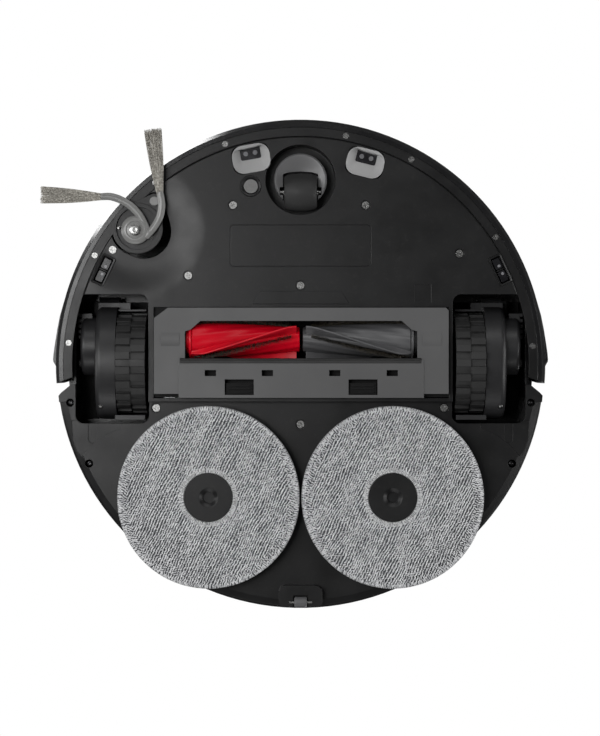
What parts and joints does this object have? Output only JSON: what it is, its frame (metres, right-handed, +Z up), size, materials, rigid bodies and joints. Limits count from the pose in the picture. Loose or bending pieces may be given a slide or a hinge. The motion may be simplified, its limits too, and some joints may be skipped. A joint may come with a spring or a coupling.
{
  "type": "robot vacuum",
  "caption": "Round robot vacuum seen from below: split brush roll, swing-out side brush, caster, drive wheels and rotating mop pads.",
  "frame": {"origin": "centre of the round body on the floor plane", "axes": "+Z up, -Y towards the front (bumper and caster), +X to the robot's right as seen from below with the front at the top"},
  "size_m": [0.3616, 0.3496, 0.097],
  "materials": {
    "black_plastic": "fine satin moulded",
    "guard_grey": "fine satin moulded",
    "arm_grey": "satin moulded",
    "red_plastic": "satin moulded",
    "red_rubber": "satin",
    "grey_plastic": "satin moulded",
    "grey_rubber": "satin",
    "dark_rubber": "matte",
    "tyre_rubber": "matte",
    "steel": "zinc plated",
    "sensor_window": "glossy infrared window",
    "sensor_grey": "satin",
    "deck_black": "satin, fine spark texture",
    "microfibre": "looped microfibre",
    "bristle": "nylon bristles",
    "brush_grey": "translucent grey",
    "circuit_board": "solder mask",
    "battery_cells": "shrink-wrapped cells",
    "clear_smoke": "smoky bin",
    "filter_paper": "pleated paper",
    "motor_metal": "brushed"
  },
  "bodies": {
    "chassis": {"base_pan": "black_plastic", "side_shell": "deck_black", "charging_contacts": "steel", "top_cover": "deck_black", "chassis_screws": "steel", "caster_socket": "steel", "rear_roller_axle": "steel", "carpet_sensor": "steel", "floor_sensor_holders": "sensor_grey", "cliff_sensor_windows": "sensor_window", "wheel_bracket_left": "black_plastic", "wheel_bracket_right": "black_plastic", "wheel_spring_left": "steel", "wheel_spring_right": "steel", "side_brush_pivot": "steel", "brush_housing": "black_plastic", "brush_motor": "motor_metal", "battery": "battery_cells", "main_board": "circuit_board", "dust_bin": "clear_smoke", "dust_filter": "filter_paper", "fan_housing": "black_plastic", "water_tank": "clear_smoke", "lidar_motor": "motor_metal"},
    "bumper": {"bumper_shell": "deck_black", "bumper_ring": "black_plastic", "bumper_screws": "steel", "bumper_window": "sensor_window"},
    "lid": {"top_lid": "deck_black"},
    "power_key": {"power_button": "grey_plastic"},
    "home_key": {"home_button": "grey_plastic"},
    "turret": {"turret_cap": "deck_black"},
    "range_finder": {"lidar_head": "black_plastic"},
    "fan": {"fan_impeller": "grey_plastic"},
    "drop_arm_left": {"wheel_arm_left": "arm_grey"},
    "drop_arm_right": {"wheel_arm_right": "arm_grey"},
    "drive_wheel_left": {"wheel_hub_left": "arm_grey", "tyre_left": "tyre_rubber"},
    "drive_wheel_right": {"wheel_hub_right": "arm_grey", "tyre_right": "tyre_rubber"},
    "caster": {"caster_fork": "black_plastic", "caster_axle": "steel"},
    "caster_roller": {"caster_wheel": "grey_plastic"},
    "rear_roller": {"rear_roller": "grey_rubber"},
    "brush_swing_arm": {"side_brush_arm": "black_plastic"},
    "side_brush": {"side_brush_hub": "brush_grey", "side_brush_bristles": "bristle"},
    "roll_left": {"roll_core_left": "red_plastic", "roll_blades_left": "red_rubber"},
    "roll_right": {"roll_core_right": "grey_plastic", "roll_blades_right": "grey_rubber"},
    "guard": {"brush_guard": "guard_grey", "wiper_strip": "dark_rubber"},
    "latch_left": {"guard_latch_left": "black_plastic"},
    "latch_right": {"guard_latch_right": "black_plastic"},
    "mop_carriage": {"mop_gearbox": "black_plastic"},
    "mop_left": {"mop_plate_left": "black_plastic", "mop_pad_left": "microfibre"},
    "mop_right": {"mop_plate_right": "black_plastic", "mop_pad_right": "microfibre"}
  },
  "joints": [
    {"name": "bumper_press", "type": "slide", "parent": "chassis", "child": "bumper", "axis": [0, 1, 0], "range_m": [0, 0.0035], "stiffness_N_per_m": 300, "springref_m": -0.004},
    {"name": "lid_hinge", "type": "hinge", "parent": "chassis", "child": "lid", "pos_m": [0, 0.0376, 0.0788], "axis": [-1, 0, 0], "range_deg": [0, 80]},
    {"name": "power_button_press", "type": "slide", "parent": "chassis", "child": "power_key", "axis": [0, 0, -1], "range_m": [0, 0.0008], "stiffness_N_per_m": 300, "springref_m": -0.002},
    {"name": "home_button_press", "type": "slide", "parent": "chassis", "child": "home_key", "axis": [0, 0, -1], "range_m": [0, 0.0008], "stiffness_N_per_m": 300, "springref_m": -0.002},
    {"name": "turret_press", "type": "slide", "parent": "chassis", "child": "turret", "axis": [0, 0, -1], "range_m": [0, 0.0015], "stiffness_N_per_m": 600, "springref_m": -0.002},
    {"name": "lidar_spin", "type": "hinge", "parent": "chassis", "child": "range_finder", "pos_m": [0, 0.088, 0.08], "axis": [0, 0, 1], "continuous": true},
    {"name": "fan_spin", "type": "hinge", "parent": "chassis", "child": "fan", "pos_m": [0, 0.088, 0.05], "axis": [0, 0, 1], "continuous": true},
    {"name": "drop_arm_left_hinge", "type": "hinge", "parent": "chassis", "child": "drop_arm_left", "pos_m": [-0.1386, -0.04, 0.054], "axis": [1, 0, 0], "range_deg": [-14, 0], "stiffness_Nm_per_rad": 0.5, "springref_deg": -34.38, "deforming": ["wheel_spring_left"]},
    {"name": "drop_arm_right_hinge", "type": "hinge", "parent": "chassis", "child": "drop_arm_right", "pos_m": [0.1386, -0.04, 0.054], "axis": [1, 0, 0], "range_deg": [-14, 0], "stiffness_Nm_per_rad": 0.5, "springref_deg": -34.38, "deforming": ["wheel_spring_right"]},
    {"name": "drive_wheel_left_spin", "type": "hinge", "parent": "drop_arm_left", "child": "drive_wheel_left", "pos_m": [-0.1209, -0.001, 0.036], "axis": [1, 0, 0], "continuous": true},
    {"name": "drive_wheel_right_spin", "type": "hinge", "parent": "drop_arm_right", "child": "drive_wheel_right", "pos_m": [0.1209, -0.001, 0.036], "axis": [1, 0, 0], "continuous": true},
    {"name": "caster_swivel", "type": "hinge", "parent": "chassis", "child": "caster", "pos_m": [0, -0.1314, 0.02], "axis": [0, 0, 1], "continuous": true},
    {"name": "caster_roll", "type": "hinge", "parent": "caster", "child": "caster_roller", "pos_m": [0, -0.1226, 0.0135], "axis": [1, 0, 0], "continuous": true},
    {"name": "rear_roller_roll", "type": "hinge", "parent": "chassis", "child": "rear_roller", "pos_m": [0, 0.1692, 0.0094], "axis": [1, 0, 0], "continuous": true},
    {"name": "side_brush_swing", "type": "hinge", "parent": "chassis", "child": "brush_swing_arm", "pos_m": [-0.104, -0.116, 0.012], "axis": [0, 0, 1], "range_deg": [-12, 0]},
    {"name": "side_brush_spin", "type": "hinge", "parent": "brush_swing_arm", "child": "side_brush", "pos_m": [-0.1172, -0.0953, 0.008], "axis": [0, 0, 1], "continuous": true},
    {"name": "roll_left_spin", "type": "hinge", "parent": "chassis", "child": "roll_left", "pos_m": [-0.04, -0.0177, 0.0189], "axis": [1, 0, 0], "continuous": true},
    {"name": "roll_right_spin", "type": "hinge", "parent": "chassis", "child": "roll_right", "pos_m": [0.04, -0.0177, 0.0189], "axis": [1, 0, 0], "continuous": true},
    {"name": "guard_tilt", "type": "hinge", "parent": "chassis", "child": "guard", "pos_m": [0, -0.0392, 0.0086], "axis": [-1, 0, 0], "range_deg": [0, 70]},
    {"name": "latch_left_slide", "type": "slide", "parent": "guard", "child": "latch_left", "axis": [0, -1, 0], "range_m": [0, 0.002], "stiffness_N_per_m": 300, "springref_m": -0.002},
    {"name": "latch_right_slide", "type": "slide", "parent": "guard", "child": "latch_right", "axis": [0, -1, 0], "range_m": [0, 0.002], "stiffness_N_per_m": 300, "springref_m": -0.002},
    {"name": "mop_lift", "type": "slide", "parent": "chassis", "child": "mop_carriage", "axis": [0, 0, 1], "range_m": [0, 0.0094]},
    {"name": "mop_left_spin", "type": "hinge", "parent": "mop_carriage", "child": "mop_left", "pos_m": [-0.0653, 0.0943, 0.01], "axis": [0, 0, 1], "continuous": true},
    {"name": "mop_right_spin", "type": "hinge", "parent": "mop_carriage", "child": "mop_right", "pos_m": [0.0653, 0.0943, 0.01], "axis": [0, 0, 1], "continuous": true}
  ],
  "couplings": [
    {"joint": "roll_right_spin", "follows": "roll_left_spin", "ratio": 1},
    {"joint": "mop_right_spin", "follows": "mop_left_spin", "ratio": -1}
  ]
}
